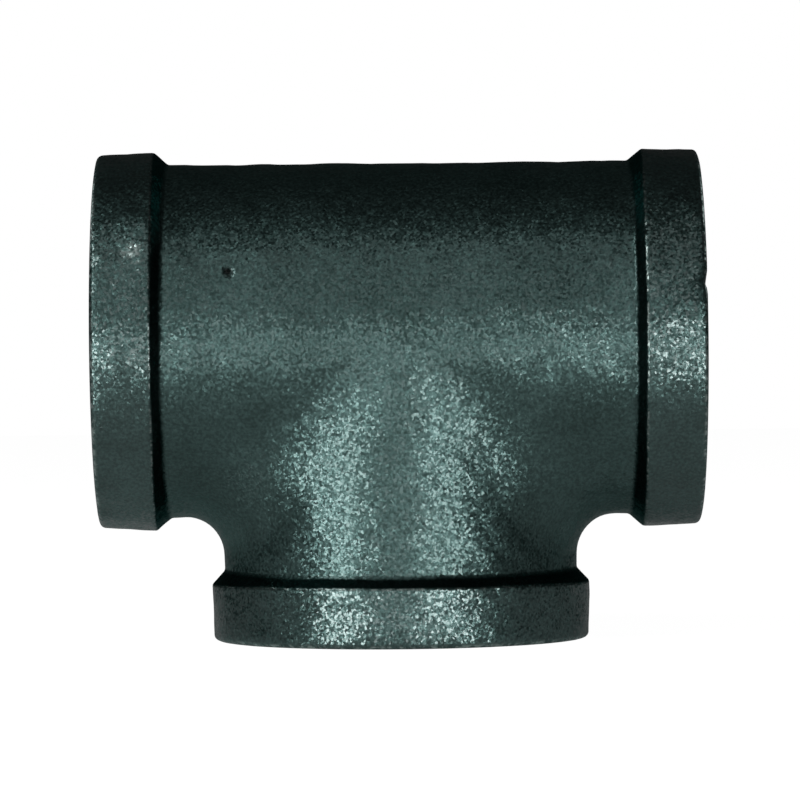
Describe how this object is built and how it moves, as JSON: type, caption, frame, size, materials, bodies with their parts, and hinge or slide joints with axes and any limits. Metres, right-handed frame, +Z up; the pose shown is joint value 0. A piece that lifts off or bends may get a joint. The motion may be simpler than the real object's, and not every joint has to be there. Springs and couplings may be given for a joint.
{
  "type": "pipe tee",
  "caption": "Equal pipe tee of black cast iron with banded, threaded ends: a straight run and one branch at right angles, joined by smooth blends.",
  "frame": {"origin": "centre of the branch's end face, on which the tee stands", "axes": "+X along the run, -Z out of the branch, +Y across both, +Z up"},
  "size_m": [0.0888, 0.056, 0.0725],
  "materials": {
    "black_iron": "sand-cast black iron with a thin oiled skin, fine grained, slightly worn at the edges"
  },
  "bodies": {
    "root": {"tee_body": "black_iron"}
  },
  "joints": []
}
